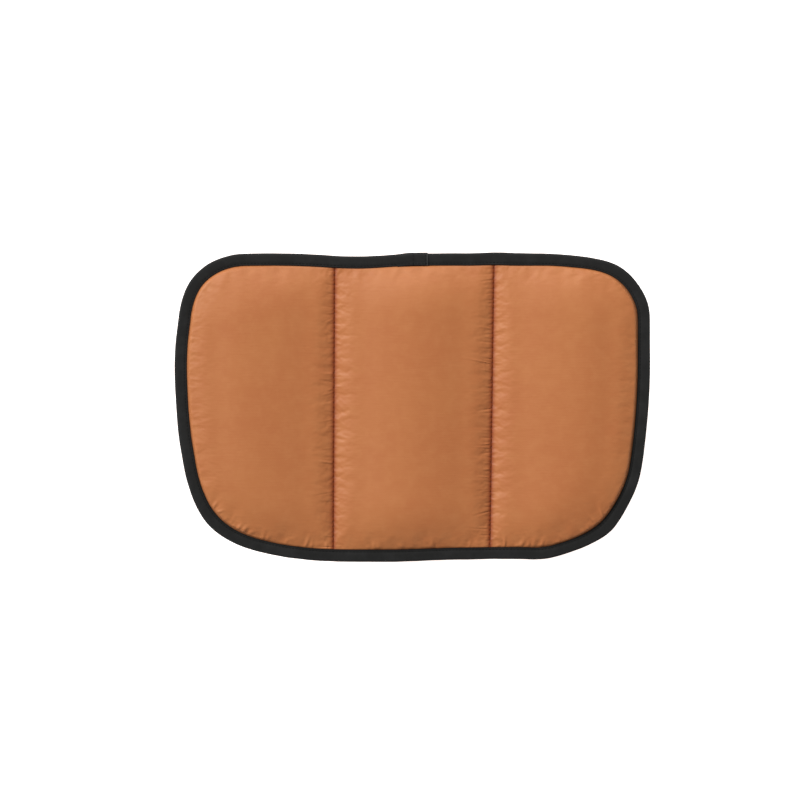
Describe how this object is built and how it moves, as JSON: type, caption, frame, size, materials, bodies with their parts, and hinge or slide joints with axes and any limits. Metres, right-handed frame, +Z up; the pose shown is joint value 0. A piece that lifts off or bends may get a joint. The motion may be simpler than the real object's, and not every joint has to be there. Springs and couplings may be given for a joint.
{
  "type": "pet cushion bed",
  "caption": "Flat quilted pet cushion pad: stuffed channels between two cloth covers, bound all round in folded tape, folding along its sewn seams.",
  "frame": {"origin": "on the surface the pad lies on, under the middle of the pad", "axes": "+X across the channels from the left panel to the right one, +Y towards the rear edge where the tape's lap is, +Z up through the crowned face"},
  "size_m": [0.45, 0.2928, 0.0195],
  "materials": {
    "cover_cloth": "silky woven cloth",
    "wadding": "lofty polyester wadding",
    "binding_tape": "matt woven tape",
    "seam_thread": "spun sewing thread",
    "edge_thread": "spun sewing thread"
  },
  "bodies": {
    "centre_panel": {"top_cover_centre": "cover_cloth", "bottom_cover_centre": "cover_cloth", "wadding_centre": "wadding", "binding_rear": "binding_tape", "binding_front": "binding_tape", "binding_lap": "binding_tape", "seam_thread_top_left": "seam_thread", "seam_thread_top_right": "seam_thread", "seam_thread_bottom_left": "seam_thread", "seam_thread_bottom_right": "seam_thread", "edge_thread_top_rear": "edge_thread", "edge_thread_top_front": "edge_thread", "edge_thread_bottom_rear": "edge_thread", "edge_thread_bottom_front": "edge_thread"},
    "left_panel": {"top_cover_left": "cover_cloth", "bottom_cover_left": "cover_cloth", "wadding_left": "wadding", "binding_left": "binding_tape", "edge_thread_top_left": "edge_thread", "edge_thread_bottom_left": "edge_thread"},
    "right_panel": {"top_cover_right": "cover_cloth", "bottom_cover_right": "cover_cloth", "wadding_right": "wadding", "binding_right": "binding_tape", "edge_thread_top_right": "edge_thread", "edge_thread_bottom_right": "edge_thread"}
  },
  "joints": [
    {"name": "left_fold", "type": "hinge", "parent": "centre_panel", "child": "left_panel", "pos_m": [-0.075, 0, 0.0065], "axis": [0, 1, 0], "range_deg": [-115, 115]},
    {"name": "right_fold", "type": "hinge", "parent": "centre_panel", "child": "right_panel", "pos_m": [0.075, 0, 0.0065], "axis": [0, -1, 0], "range_deg": [-115, 115]}
  ]
}
